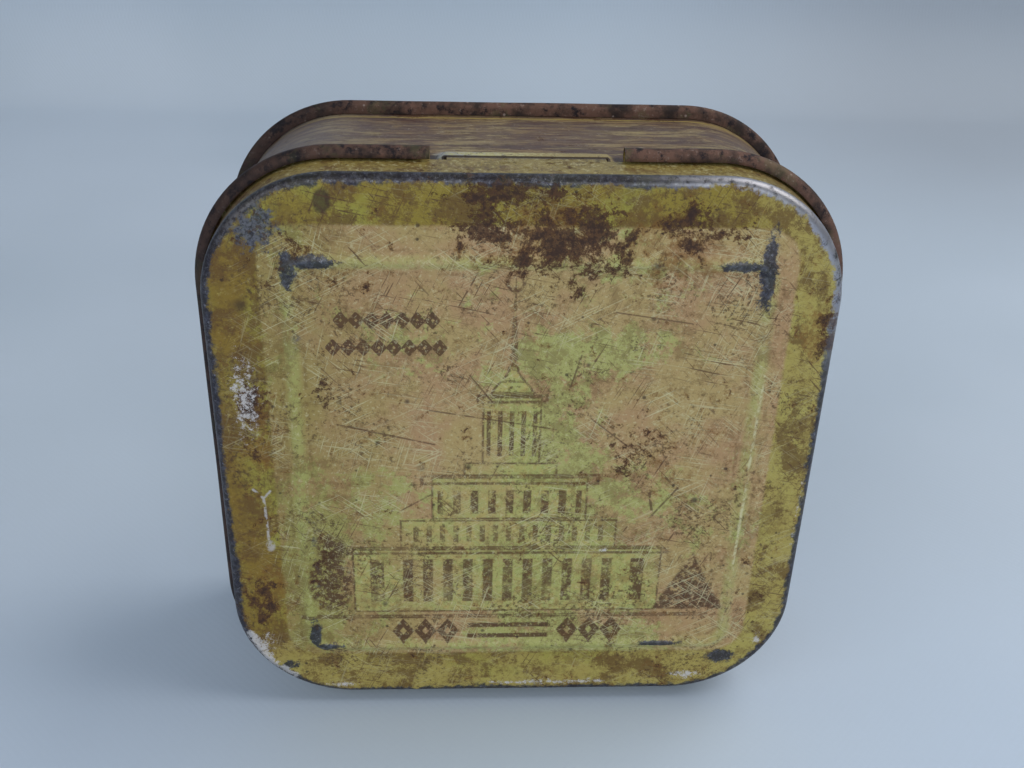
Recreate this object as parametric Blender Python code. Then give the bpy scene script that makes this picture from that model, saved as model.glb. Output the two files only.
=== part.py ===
"""Square tinplate box with rounded corners and a hinged lid, standing on its edge, lid towards -Y.

Sections are drawn in millimetres as (offset, depth): the offset is measured outwards from the lid skirt's
outer face, and the depth runs back from the lid panel's flat face. The scene is in metres.
"""

import math

import bmesh
import bpy
import numpy as np

MM = 0.001

# Overall shape
HALF = 35.0                    # centre to the lid skirt's outer face
CORNER = 14.5                  # corner radius of the skirt's outer face
DEPTH = 26.9                   # lid panel to the base plate's outer face
CORNER_STEPS = 10
SHEET = 0.35
SLIP = 0.4                     # between the lid skirt and the body wall

# Lid
SKIRT_DEPTH = 5.6              # to the middle of the curled edge
CURL_INNER = 0.585
CURL_STEP_DEG = 30.0
CURL_END_DEG = -105.0
EDGE_RADIUS = 1.0              # drawn edge between panel and skirt
EDGE_STEPS = 4
RIDGE_HALF = 26.2
RIDGE_SHIFT = (0.6, -0.7)      # the pressed frame sits a little off centre
RIDGE_RADIUS = 2.2
RIDGE_FOOT = 0.8
RIDGE_CREST = 0.3
RIDGE_HEIGHT = 0.35

# Hinge: a tongue of the lid hooks round the front lip of a bump pressed out of the body wall
HINGE_DEPTH = 7.4
HINGE_OFFSET = -SHEET / 2
TONGUE_HALF = 8.6
NOTCH_HALF = 10.4              # the curled edge stops here
HOOK_INNER = 0.5
HOOK_START_DEG = 197.0
HOOK_STEP_DEG = 20.0
HOOK_STEPS = 5
HOOK_NECK = (                  # into the hook: (printed side, inner side) as (offset, distance before it)
    ((-0.06, 0.06), (-SHEET - 0.05, 0.02)),
    ((0.0, 0.3), (-SHEET, 0.15)),
)
SLOT_HALF = 8.9
BUMP_HALF = 9.9
SLOT_FRONT = HINGE_DEPTH - 1.1
BUMP_FLAT_END = HINGE_DEPTH + 0.9
BUMP_END = HINGE_DEPTH + 3.4

# Body wall
WALL = -(SHEET + SLIP)         # offset of the wall's outer face
MOUTH_DEPTH = 1.1
HEM_ROUND = 0.2
HEM_LENGTH = 2.5
HEM_STEP = 0.1
SEAM_HALF = 2.0
SEAM_STEP = 0.2
SEAM_EXTRA = 0.45              # how far the folded side seam stands into the box
BEND_INNER = 0.3
BEND_MIDDLE_DEG = 135.0
FLANGE_END = 0.35

# Base plate: its edge is rolled over the body wall's flange
ROLL_INSET = 0.4               # the rolled edge stands out this much less than the lid's curled edge
ROLL_OUTER = 0.86
ROLL_INNER = ROLL_OUTER - SHEET
ROLL_LIP = -0.4
ROLL_DEPTH = DEPTH - ROLL_OUTER
BASE_FLAT = -0.9

# Plain looks: (colour, metallic, roughness)
LID_LOOK = ((0.30, 0.27, 0.09), 0.35, 0.45)
WALL_LOOK = ((0.22, 0.18, 0.08), 0.3, 0.5)
BASE_LOOK = ((0.12, 0.06, 0.04), 0.5, 0.6)

BEAD_OUT = 2 * CURL_INNER + SHEET
ROLL_OFFSET = BEAD_OUT - ROLL_OUTER - ROLL_INSET
CENTRE_Z = HALF + BEAD_OUT
CENTRE_DEPTH = (DEPTH - RIDGE_HEIGHT) / 2


def stations(top, bottom):
    """Places round the rounded square, anticlockwise seen from the lid: (corner x, corner z, angle, x)."""
    found = []
    for index, (side_x, side_z) in enumerate(((1, 1), (-1, 1), (-1, -1), (1, -1))):
        for step in range(CORNER_STEPS + 1):
            angle = math.radians(90 * (index + step / CORNER_STEPS))
            found.append((side_x, side_z, angle, None))
        if index == 0:
            found += [(0, 1, math.pi / 2, x) for x in sorted(top, reverse=True)]
        if index == 2:
            found += [(0, -1, -math.pi / 2, x) for x in sorted(bottom)]
    return found


def place(station, half_x, half_z, radius, depth, shift=(0.0, 0.0)):
    side_x, side_z, angle, x = station
    if x is None:
        x = side_x * (half_x - radius) + radius * math.cos(angle)
        z = side_z * (half_z - radius) + radius * math.sin(angle)
    else:
        z = side_z * half_z
    y = depth - CENTRE_DEPTH
    return ((x + shift[0]) * MM, y * MM, (z + shift[1] + CENTRE_Z) * MM)


def ring(around, offset, depth):
    return [place(s, HALF + offset, HALF + offset, CORNER + offset, depth) for s in around]


def ridge_ring(around, out, depth):
    half = RIDGE_HALF + out
    moved = [s if s[3] is None else (s[0], s[1], s[2], s[3] - RIDGE_SHIFT[0]) for s in around]
    return [place(s, half, half, RIDGE_RADIUS + out, depth, RIDGE_SHIFT) for s in moved]


def on_arc(centre, radius, degrees):
    angle = math.radians(degrees)
    return (centre[0] + radius * math.cos(angle), centre[1] + radius * math.sin(angle))


def shell(name, outer, inner, present, capped):
    """A sheet between two grids of points. Cells that present() refuses stay open, with their edges closed."""
    rows = len(outer)
    around = len(outer[0])
    points = [p for row in outer for p in row] + [p for row in inner for p in row]
    back = rows * around
    faces = []
    for j in range(rows - 1):
        for i in range(around):
            if not present(i, j):
                continue
            k = (i + 1) % around
            a, b = j * around + i, j * around + k
            c, d = (j + 1) * around + k, (j + 1) * around + i
            faces.append((a, b, c, d))
            faces.append((back + d, back + c, back + b, back + a))
            last = capped and j == rows - 2
            sides = (
                (a, b, j > 0 and present(i, j - 1)),
                (c, d, last or (j < rows - 2 and present(i, j + 1))),
                (b, c, present(k, j)),
                (d, a, present((i - 1) % around, j)),
            )
            faces += [(p, q, back + q, back + p) for p, q, joined in sides if not joined]
    if capped:
        first = (rows - 1) * around
        faces.append(tuple(range(first, first + around)))
        faces.append(tuple(range(back + first, back + first + around)))
    return solid(name, points, faces)


def solid(name, points, faces):
    used = sorted({index for face in faces for index in face})
    renumbered = {old: new for new, old in enumerate(used)}
    mesh = bpy.data.meshes.new(name)
    mesh.from_pydata([points[i] for i in used], [], [[renumbered[i] for i in f] for f in faces])
    edit = bmesh.new()
    edit.from_mesh(mesh)
    bmesh.ops.recalc_face_normals(edit, faces=edit.faces)
    edit.to_mesh(mesh)
    edit.free()
    obj = bpy.data.objects.new(name, mesh)
    bpy.context.scene.collection.objects.link(obj)
    return obj


def painted(obj, colour, metallic, roughness):
    material = bpy.data.materials.new(obj.name)
    material.use_nodes = True
    shader = material.node_tree.nodes["Principled BSDF"]
    shader.inputs["Base Color"].default_value = (*colour, 1.0)
    shader.inputs["Metallic"].default_value = metallic
    shader.inputs["Roughness"].default_value = roughness
    obj.data.materials.append(material)


def curl_pairs():
    """From the curled edge's raw end to the skirt: (printed side, inner side) as (offset, depth)."""
    centre = (CURL_INNER, SKIRT_DEPTH)
    steps = int((180.0 + 90.0) / CURL_STEP_DEG)
    degrees = [CURL_END_DEG] + [-90.0 + CURL_STEP_DEG * step for step in range(steps + 1)]
    return [(on_arc(centre, CURL_INNER, a), on_arc(centre, CURL_INNER + SHEET, a)) for a in degrees]


def hook_pairs():
    """From the hook's free end to the skirt, the same way."""
    centre = (HINGE_OFFSET, HINGE_DEPTH)
    pairs = []
    for step in range(HOOK_STEPS, -1, -1):
        turn = math.radians(HOOK_START_DEG + HOOK_STEP_DEG * step)
        pair = []
        for radius in (HOOK_INNER, HOOK_INNER + SHEET):
            pair.append((centre[0] + radius * math.sin(turn), centre[1] + radius * math.cos(turn)))
        pairs.append(tuple(pair))
    printed_start = HINGE_DEPTH - HOOK_INNER
    bare_start = printed_start - SHEET
    for (printed, before), (bare, bare_before) in HOOK_NECK:
        pairs.append(((printed, printed_start - before), (bare, bare_start - bare_before)))
    pairs.append(((0.0, SKIRT_DEPTH), (-SHEET, SKIRT_DEPTH)))
    return pairs


def make_lid():
    around = stations((-NOTCH_HALF, -TONGUE_HALF, TONGUE_HALF, NOTCH_HALF), ())
    curl = curl_pairs()
    hook = hook_pairs()
    spare = len(curl) - len(hook)
    outer = []
    inner = []
    for j, (printed, bare) in enumerate(curl):
        rows = (ring(around, *printed), ring(around, *bare))
        for i, station in enumerate(around):
            if station[3] is None or abs(station[3]) > TONGUE_HALF or j < spare:
                continue
            for row, (offset, depth) in zip(rows, hook[j - spare]):
                row[i] = place(station, HALF + offset, HALF + offset, CORNER + offset, depth)
        outer.append(rows[0])
        inner.append(rows[1])
    for step in range(EDGE_STEPS + 1):
        degrees = -90.0 * step / EDGE_STEPS
        centre = (-EDGE_RADIUS, EDGE_RADIUS)
        outer.append(ring(around, *on_arc(centre, EDGE_RADIUS, degrees)))
        inner.append(ring(around, *on_arc(centre, EDGE_RADIUS - SHEET, degrees)))
    for out, rise in ((RIDGE_FOOT, 0), (RIDGE_CREST, 1), (-RIDGE_CREST, 1), (-RIDGE_FOOT, 0)):
        outer.append(ridge_ring(around, out, -rise * RIDGE_HEIGHT))
        inner.append(ridge_ring(around, out, SHEET - rise * RIDGE_HEIGHT))

    def present(i, j):
        if j >= len(curl) - 1:
            return True
        near = around[i][3]
        far = around[(i + 1) % len(around)][3]
        if near is None or far is None:
            return True
        if max(abs(near), abs(far)) > TONGUE_HALF:
            return False
        return j >= spare

    lid = shell("lid", outer, inner, present, True)
    axis = ((HINGE_DEPTH - CENTRE_DEPTH) * MM, (HALF + HINGE_OFFSET + CENTRE_Z) * MM)
    pivot = np.array((0.0, *axis))
    for vertex in lid.data.vertices:
        vertex.co = np.array(vertex.co) - pivot
    lid.location = pivot
    painted(lid, *LID_LOOK)


def make_body_wall():
    seam = (-SEAM_HALF - SEAM_STEP, -SEAM_HALF, SEAM_HALF, SEAM_HALF + SEAM_STEP)
    around = stations((-BUMP_HALF, -SLOT_HALF, SLOT_HALF, BUMP_HALF), seam)
    bare = WALL - SHEET
    hem = bare - SHEET
    hem_end = MOUTH_DEPTH + HEM_LENGTH
    flange_front = ROLL_DEPTH - SHEET / 2
    flange_back = ROLL_DEPTH + SHEET / 2
    bend_start = flange_front - BEND_INNER
    bend = (WALL + BEND_INNER, bend_start)
    profile = [
        ((WALL - HEM_ROUND, MOUTH_DEPTH), (hem + HEM_ROUND, MOUTH_DEPTH)),
        ((WALL, MOUTH_DEPTH + HEM_ROUND), (hem, MOUTH_DEPTH + HEM_ROUND)),
        ((WALL, hem_end), (hem, hem_end)),
        ((WALL, hem_end + HEM_STEP), (bare, hem_end + HEM_STEP)),
        ((WALL, SLOT_FRONT), (bare, SLOT_FRONT)),
        ((WALL, HINGE_DEPTH), (bare, HINGE_DEPTH)),
        ((WALL, BUMP_FLAT_END), (bare, BUMP_FLAT_END)),
        ((WALL, BUMP_END), (bare, BUMP_END)),
        ((WALL, bend_start), (bare, bend_start)),
        (on_arc(bend, BEND_INNER, BEND_MIDDLE_DEG), on_arc(bend, BEND_INNER + SHEET, BEND_MIDDLE_DEG)),
        ((WALL + BEND_INNER, flange_front), (WALL + BEND_INNER, flange_back)),
        ((FLANGE_END, flange_front), (FLANGE_END, flange_back)),
    ]
    slot_row = 4
    bump_rows = (5, 6)
    seam_rows = range(3, 9)
    rise = -WALL
    outer = []
    inner = []
    for j, (printed, plain) in enumerate(profile):
        rows = (ring(around, *printed), ring(around, *plain))
        for i, station in enumerate(around):
            x = station[3]
            if x is None:
                continue
            if station[1] > 0 and j in bump_rows and abs(x) <= SLOT_HALF:
                for row, (offset, depth) in zip(rows, (printed, plain)):
                    row[i] = place(station, HALF, HALF + offset + rise, CORNER, depth)
            if station[1] < 0 and j in seam_rows and abs(x) <= SEAM_HALF:
                rows[1][i] = place(station, HALF, HALF + plain[0] - SEAM_EXTRA, CORNER, plain[1])
        outer.append(rows[0])
        inner.append(rows[1])

    def present(i, j):
        near = around[i]
        far = around[(i + 1) % len(around)]
        if j != slot_row or near[3] is None or far[3] is None or near[1] < 0:
            return True
        return max(abs(near[3]), abs(far[3])) > SLOT_HALF

    wall = shell("body_wall", outer, inner, present, False)
    painted(wall, *WALL_LOOK)


def make_base_plate():
    around = stations((), ())
    roll = (ROLL_OFFSET, ROLL_DEPTH)
    outer = [ring(around, ROLL_LIP, ROLL_DEPTH - ROLL_OUTER)]
    inner = [ring(around, ROLL_LIP, ROLL_DEPTH - ROLL_INNER)]
    steps = int(180.0 / CURL_STEP_DEG)
    for step in range(steps + 1):
        degrees = -90.0 + CURL_STEP_DEG * step
        outer.append(ring(around, *on_arc(roll, ROLL_OUTER, degrees)))
        inner.append(ring(around, *on_arc(roll, ROLL_INNER, degrees)))
    outer.append(ring(around, BASE_FLAT, DEPTH))
    inner.append(ring(around, BASE_FLAT, DEPTH - SHEET))
    base = shell("base_plate", outer, inner, lambda i, j: True, True)
    painted(base, *BASE_LOOK)


for old in list(bpy.data.objects):
    bpy.data.objects.remove(old, do_unlink=True)

make_lid()
make_body_wall()
make_base_plate()
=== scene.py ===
"""Square hinged tin box with worn printed lacquer, on a pale floor. Shapes are worked out in millimetres."""

import math

import bmesh
import bpy
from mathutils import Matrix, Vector, noise


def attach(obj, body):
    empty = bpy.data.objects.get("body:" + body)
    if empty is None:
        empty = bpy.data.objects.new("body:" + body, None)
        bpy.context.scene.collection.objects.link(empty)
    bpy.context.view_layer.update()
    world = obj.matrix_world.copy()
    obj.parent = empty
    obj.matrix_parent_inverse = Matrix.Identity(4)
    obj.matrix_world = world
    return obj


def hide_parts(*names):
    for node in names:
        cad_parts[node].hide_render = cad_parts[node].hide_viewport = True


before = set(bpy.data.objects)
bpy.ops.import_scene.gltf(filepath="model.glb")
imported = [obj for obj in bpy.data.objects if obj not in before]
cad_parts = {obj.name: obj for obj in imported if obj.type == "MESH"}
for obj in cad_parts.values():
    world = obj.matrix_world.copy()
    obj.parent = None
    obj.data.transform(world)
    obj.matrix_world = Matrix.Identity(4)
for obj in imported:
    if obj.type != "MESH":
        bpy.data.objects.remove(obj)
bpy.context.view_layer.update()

MM = 0.001

# Dimensions in millimetres. They are the CAD's, but for the base's rolled edge, which is thinner here.
HALF = 35.0
CORNER = 14.5
DEPTH = 26.9
SHEET = 0.35
SLIP = 0.4
SKIRT_DEPTH = 5.6
CURL_INNER = 0.585
EDGE_RADIUS = 1.0
RIDGE_HALF = 26.2
RIDGE_SHIFT = (0.6, -0.7)
RIDGE_RADIUS = 2.2
RIDGE_HEIGHT = 0.35
HINGE_DEPTH = 7.4
HINGE_OFFSET = -SHEET / 2
TONGUE_HALF = 8.6
NOTCH_HALF = 10.4
HOOK_INNER = 0.5
SLOT_HALF = 8.9
BUMP_HALF = 9.9
SLOT_FRONT = HINGE_DEPTH - 1.1
BUMP_FLAT_END = HINGE_DEPTH + 0.9
BUMP_END = HINGE_DEPTH + 3.4
WALL = -(SHEET + SLIP)
MOUTH_DEPTH = 1.1
HEM_DEPTHS = (2.4, 3.6)
SINGLE_DEPTHS = (3.75, 4.9)
SEAM_HALF = 2.0
SEAM_EXTRA = 0.45
SEAM_RISE = 0.12
SEAM_ROW = 7
FLANGE_END = 0.35
FLANGE_BEND = 0.2
ROLL_INSET = 0.4
ROLL_OUTER = 0.62
ROLL_INNER = ROLL_OUTER - 0.25
ROLL_DEPTH = DEPTH - ROLL_OUTER
BEAD_OUT = 2 * CURL_INNER + SHEET
ROLL_OFFSET = BEAD_OUT - ROLL_OUTER - ROLL_INSET
CENTRE_Z = HALF + BEAD_OUT
CENTRE_DEPTH = (DEPTH - RIDGE_HEIGHT) / 2

# How far the body wall swells out behind the lid, and how far the base plate sinks in
BODY_SWELL = 0.3
BASE_SAG = 0.12

# Slopes and margins
RIDGE_SLOPE = 1.0
BASE_FLAT_INSET = 0.9
BASE_LIP = (-0.38, -0.1)
SKIRT_ROWS = (4.5, 3.3, 2.1)
HOOK_STEPS = 20
HOOK_STEP_DEG = 5.0
HOOK_END_DEG = 197.0
CREASE_DEG = 38

# Fineness of the visual meshes
CORNER_STEPS = 26
STRAIGHT_STEP = 1.6
NEAREST = 0.35
TOUCH = 0.01

# Indices of a piece's materials
PRINTED, EDGE, INSIDE = 0, 1, 2


# -------- meshes


def straight(low, high, extra):
    """Places along a straight side, with the extra ones exactly on them."""
    count = int((high - low) / STRAIGHT_STEP)
    found = [low + (high - low) * k / count for k in range(1, count)]
    clear = [x for x in found if all(abs(x - e) > NEAREST for e in extra)]
    return sorted(clear + list(extra))


def stations(top=(), bottom=()):
    """Places round the square: (side x, side z, angle in a corner or None, place along a side or None)."""
    end = HALF - CORNER
    corners = ((1, 1), (-1, 1), (-1, -1), (1, -1))
    sides = ((0, 1, top, -1), (-1, 0, (), -1), (0, -1, bottom, 1), (1, 0, (), 1))
    found = []
    for index, ((corner_x, corner_z), (side_x, side_z, extra, way)) in enumerate(zip(corners, sides)):
        for step in range(CORNER_STEPS + 1):
            angle = math.radians(90 * (index + step / CORNER_STEPS))
            found.append((corner_x, corner_z, angle, None))
        found += [(side_x, side_z, None, along) for along in straight(-end, end, extra)[::way]]
    return found


def place(station, half, radius, depth, shift=(0.0, 0.0), stretch=1.0):
    """One station's point on a rounded square of this half width, at this depth."""
    side_x, side_z, angle, along = station
    if along is None:
        x = side_x * (half - radius) + radius * math.cos(angle)
        z = side_z * (half - radius) + radius * math.sin(angle)
    elif side_x == 0:
        x = along * stretch
        z = side_z * half
    else:
        x = side_x * half
        z = along * stretch
    return Vector((x + shift[0], depth, z + shift[1]))


def ring(around, offset, depth):
    """A rounded square, offset outwards from the outer face of the lid's skirt."""
    return [place(station, HALF + offset, CORNER + offset, depth) for station in around]


def inner_ring(around, half, radius, depth, shift=RIDGE_SHIFT):
    """A rounded square inside the panel. Straight places are spread to fit between its corners."""
    stretch = (half - radius) / (HALF - CORNER)
    return [place(station, half, radius, depth, shift, stretch) for station in around]


def on_arc(centre, radius, degrees):
    """An (offset, depth) on a circle of the section."""
    angle = math.radians(degrees)
    return (centre[0] + radius * math.cos(angle), centre[1] + radius * math.sin(angle))


def wavering(point, size, amount, seed):
    """A smooth random number in millimetres, for hand-worn sheet that is no longer quite true."""
    spot = Vector((point.x / size, point.y / size + seed, point.z / size))
    return amount * noise.noise(spot)


def reach_at_hinge(around, i):
    """How far from the middle the face after station i reaches, or None if it isn't on the hinge's side."""
    ends = around[i], around[(i + 1) % len(around)]
    if any(end[3] is None or end[1] <= 0 for end in ends):
        return None
    return max(abs(end[3]) for end in ends)


def added(name, data):
    """A new object in the scene."""
    obj = bpy.data.objects.new(name, data)
    bpy.context.scene.collection.objects.link(obj)
    return obj


def shell(name, grid, present, capped, slots, cut_slot):
    """The sheet between pairs of rings, outer and inner; slots(j) gives the materials of a pair's faces."""
    rows = len(grid)
    around = len(grid[0][0])
    points = [point for face in (0, 1) for pair in grid for point in pair[face]]
    back = rows * around
    faces = []
    index = []
    for j in range(rows - 1):
        front_slot, back_slot = slots(j)
        for i in range(around):
            if not present(i, j):
                continue
            k = (i + 1) % around
            a, b = j * around + i, j * around + k
            c, d = (j + 1) * around + k, (j + 1) * around + i
            faces.append((a, b, c, d))
            index.append(front_slot)
            faces.append((back + d, back + c, back + b, back + a))
            index.append(back_slot)
            last = capped and j == rows - 2
            sides = (
                (a, b, j > 0 and present(i, j - 1)),
                (c, d, last or (j < rows - 2 and present(i, j + 1))),
                (b, c, present(k, j)),
                (d, a, present((i - 1) % around, j)),
            )
            for p, q, joined in sides:
                if not joined:
                    faces.append((p, q, back + q, back + p))
                    index.append(cut_slot)
    if capped:
        first = (rows - 1) * around
        faces.append(tuple(range(first, first + around)))
        faces.append(tuple(range(back + first, back + first + around)))
        index += slots(rows - 2)
    used = sorted({n for face in faces for n in face})
    renumbered = {old: new for new, old in enumerate(used)}
    kept = [points[n] for n in used]
    placed = [(p.x * MM, (p.y - CENTRE_DEPTH) * MM, (p.z + CENTRE_Z) * MM) for p in kept]
    mesh = bpy.data.meshes.new(name)
    mesh.from_pydata(placed, [], [[renumbered[n] for n in face] for face in faces])
    for polygon, slot in zip(mesh.polygons, index):
        polygon.material_index = slot
        polygon.use_smooth = True
    edit = bmesh.new()
    edit.from_mesh(mesh)
    bmesh.ops.recalc_face_normals(edit, faces=edit.faces)
    edit.to_mesh(mesh)
    edit.free()
    mesh.set_sharp_from_angle(angle=math.radians(CREASE_DEG))
    return added(name, mesh)


def make_lid():
    """The section runs from inside the curled edge, or the hook at the hinge, to the panel's middle."""
    around = stations((-NOTCH_HALF, -TONGUE_HALF, TONGUE_HALF, NOTCH_HALF))
    centre = (CURL_INNER, SKIRT_DEPTH)
    curl_degrees = [-108.0] + [-100.0 + 10.0 * k for k in range(29)]
    curl = [(on_arc(centre, CURL_INNER, a), on_arc(centre, CURL_INNER + SHEET, a)) for a in curl_degrees]
    hook = []
    for step in range(HOOK_STEPS, -1, -1):
        turn = math.radians(HOOK_END_DEG + HOOK_STEP_DEG * step)
        pair = []
        for radius in (HOOK_INNER, HOOK_INNER + SHEET):
            pair.append((HINGE_OFFSET + radius * math.sin(turn), HINGE_DEPTH + radius * math.cos(turn)))
        hook.append(tuple(pair))
    # the tongue leaves the skirt in a small bend, then is flush with it
    near = HINGE_DEPTH - HOOK_INNER
    far = near - SHEET
    hook += [
        ((-0.16, near - 0.012), (-SHEET - 0.055, far + 0.015)),
        ((-0.06, near - 0.06), (-SHEET - 0.03, far - 0.03)),
        ((-0.012, near - 0.15), (-SHEET - 0.008, far - 0.08)),
        ((0.0, near - 0.3), (-SHEET, far - 0.15)),
    ]
    hook += [((0.0, SKIRT_DEPTH + more), (-SHEET, SKIRT_DEPTH + more)) for more in (0.4, 0.0)]
    spare = len(curl) - len(hook)
    grid = []
    for j, (printed, bare) in enumerate(curl):
        rows = (ring(around, *printed), ring(around, *bare))
        for i, station in enumerate(around):
            on_top = station[3] is not None and station[1] > 0
            if not on_top or abs(station[3]) > TONGUE_HALF or j < spare:
                continue
            for row, (offset, depth) in zip(rows, hook[j - spare]):
                row[i] = place(station, HALF + offset, CORNER + offset, depth)
        grid.append(rows)
    grid += [(ring(around, 0.0, depth), ring(around, -SHEET, depth)) for depth in SKIRT_ROWS]
    corner = (-EDGE_RADIUS, EDGE_RADIUS)
    for step in range(11):
        arcs = [on_arc(corner, radius, -9.0 * step) for radius in (EDGE_RADIUS, EDGE_RADIUS - SHEET)]
        grid.append([ring(around, *arc) for arc in arcs])
    start_half, start_radius = HALF - EDGE_RADIUS, CORNER - EDGE_RADIUS
    for step in range(1, 6):
        part = step / 6
        half = start_half + (RIDGE_HALF + RIDGE_SLOPE - start_half) * part
        radius = start_radius + (RIDGE_RADIUS + RIDGE_SLOPE - start_radius) * part
        shift = (RIDGE_SHIFT[0] * part, RIDGE_SHIFT[1] * part)
        grid.append([inner_ring(around, half, radius, depth, shift) for depth in (0.0, SHEET)])
    for step in range(11):
        out = RIDGE_SLOPE * (1 - step / 5)
        rise = RIDGE_HEIGHT * 0.5 * (1 + math.cos(math.pi * out / RIDGE_SLOPE))
        size = (RIDGE_HALF + out, RIDGE_RADIUS + out)
        grid.append([inner_ring(around, *size, depth - rise) for depth in (0.0, SHEET)])
    for step in range(1, 15):
        part = 1 - step / 15
        size = ((RIDGE_HALF - RIDGE_SLOPE) * part, (RIDGE_RADIUS - RIDGE_SLOPE) * part)
        grid.append([inner_ring(around, *size, depth) for depth in (0.0, SHEET)])

    # years of handling: the panel is a little dented, and the skirt isn't quite straight
    for pair in grid:
        for a, b in zip(*pair):
            reach = max(abs(a.x), abs(a.z)) / HALF
            ease = max(0.0, min(1.0, 1.3 - reach))
            flat = Vector((a.x, 0.0, a.z))
            push = ease * (wavering(flat, 23.0, 0.16, 3.0) + wavering(flat, 9.0, 0.05, 8.0))
            swell = wavering(Vector((a.x, a.y * 0.3, a.z)), 11.0, 0.05, 5.0) if a.y > 1.5 else 0.0
            near_hinge = abs(a.x) < 12.5 and a.z > 30.0
            out = Vector((a.x, 0.0, a.z)).normalized() * (0.0 if near_hinge else swell)
            for point in (a, b):
                point.y += push if a.y < 1.5 else 0.0
                point += out

    def present(i, j):
        reach = reach_at_hinge(around, i)
        if j >= len(curl) - 1 or reach is None or reach > NOTCH_HALF + TOUCH:
            return True
        return j >= spare and reach <= TONGUE_HALF + TOUCH

    def slots(j):
        return (PRINTED, EDGE) if j < len(curl) - 3 else (PRINTED, INSIDE)

    return shell("tin_lid", grid, present, True, slots, EDGE)


def make_body_wall():
    """The section runs from the hemmed mouth, past the hinge slot and its bump, to the flange."""
    seam = (-SEAM_HALF - 0.2, -SEAM_HALF, SEAM_HALF, SEAM_HALF + 0.2)
    bump_middle = (BUMP_HALF + SLOT_HALF) / 2
    bump = (-BUMP_HALF, -bump_middle, -SLOT_HALF, SLOT_HALF, bump_middle, BUMP_HALF)
    around = stations(bump, seam)
    bare = WALL - SHEET
    hem = bare - SHEET
    flange_front = ROLL_DEPTH - SHEET / 2
    flange_back = ROLL_DEPTH + SHEET / 2
    bend_start = flange_front - FLANGE_BEND
    bend = (WALL + FLANGE_BEND, bend_start)
    profile = []
    middle = (WALL + hem) / 2
    for degrees in (-90.0, -60.0, -30.0, 0.0):
        turn = math.radians(degrees)
        reach = SHEET * math.cos(turn) if degrees > -90 else 0.03
        depth = MOUTH_DEPTH + SHEET + SHEET * math.sin(turn)
        profile.append(((middle + reach, depth), (middle - reach, depth)))
    profile += [((WALL, depth), (hem, depth)) for depth in HEM_DEPTHS]
    profile += [((WALL, depth), (bare, depth)) for depth in SINGLE_DEPTHS]
    slot_row = len(profile)
    profile.append(((WALL, SLOT_FRONT), (bare, SLOT_FRONT)))
    raised = {}
    for depth, share in ((-0.3, 0.86), (-0.2, 0.97), (-0.05, 1.0), (0.5, 1.0), (0.9, 1.0)):
        raised[len(profile)] = share
        profile.append(((WALL, HINGE_DEPTH + depth), (bare, HINGE_DEPTH + depth)))
    for step in range(1, 7):
        part = step / 6
        depth = BUMP_FLAT_END + (BUMP_END - BUMP_FLAT_END) * part
        raised[len(profile)] = 0.5 * (1 + math.cos(math.pi * part))
        profile.append(((WALL, depth), (bare, depth)))
    steps = 9
    for step in range(1, steps + 1):
        depth = BUMP_END + (bend_start - BUMP_END) * step / steps
        profile.append(((WALL, depth), (bare, depth)))
    seam_last = len(profile)
    for degrees in (162.0, 144.0, 126.0, 108.0, 90.0):
        profile.append((on_arc(bend, FLANGE_BEND, degrees), on_arc(bend, FLANGE_BEND + SHEET, degrees)))
    flange_end = FLANGE_END - BODY_SWELL
    profile.append(((flange_end, flange_front), (flange_end, flange_back)))

    grid = []
    for j, (printed, plain) in enumerate(profile):
        rows = (ring(around, *printed), ring(around, *plain))
        for i, station in enumerate(around):
            along = station[3]
            if along is None:
                continue
            if station[1] > 0 and j in raised and abs(along) < BUMP_HALF:
                over = (BUMP_HALF - abs(along)) / (BUMP_HALF - SLOT_HALF)
                share = raised[j] * (1.0 if over >= 1 else 0.5 * (1 - math.cos(math.pi * over)))
                for row in rows:
                    row[i].z -= WALL * share
            if station[1] < 0 and SEAM_ROW <= j < seam_last and abs(along) <= SEAM_HALF:
                rows[1][i].z += SEAM_EXTRA
                rows[0][i].z += SEAM_RISE
        grid.append(rows)
    for pair in grid:
        for a, b in zip(*pair):
            ease = max(0.0, min(1.0, (a.y - 9.0) / 4.0, (24.5 - a.y) / 4.0))
            push = ease * (wavering(a, 17.0, 0.22, 1.0) + wavering(a, 6.0, 0.05, 2.0) - 0.05)
            push += BODY_SWELL * max(0.0, min(1.0, (a.y - 9.0) / 4.0))
            out = Vector((a.x, 0.0, a.z)).normalized() * push
            a += out
            b += out

    def present(i, j):
        reach = reach_at_hinge(around, i)
        return j != slot_row or reach is None or reach > SLOT_HALF + TOUCH

    # the wall has no edge material: its second one is the inside
    return shell("tin_body", grid, present, False, lambda j: (0, 1), 0)


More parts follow.
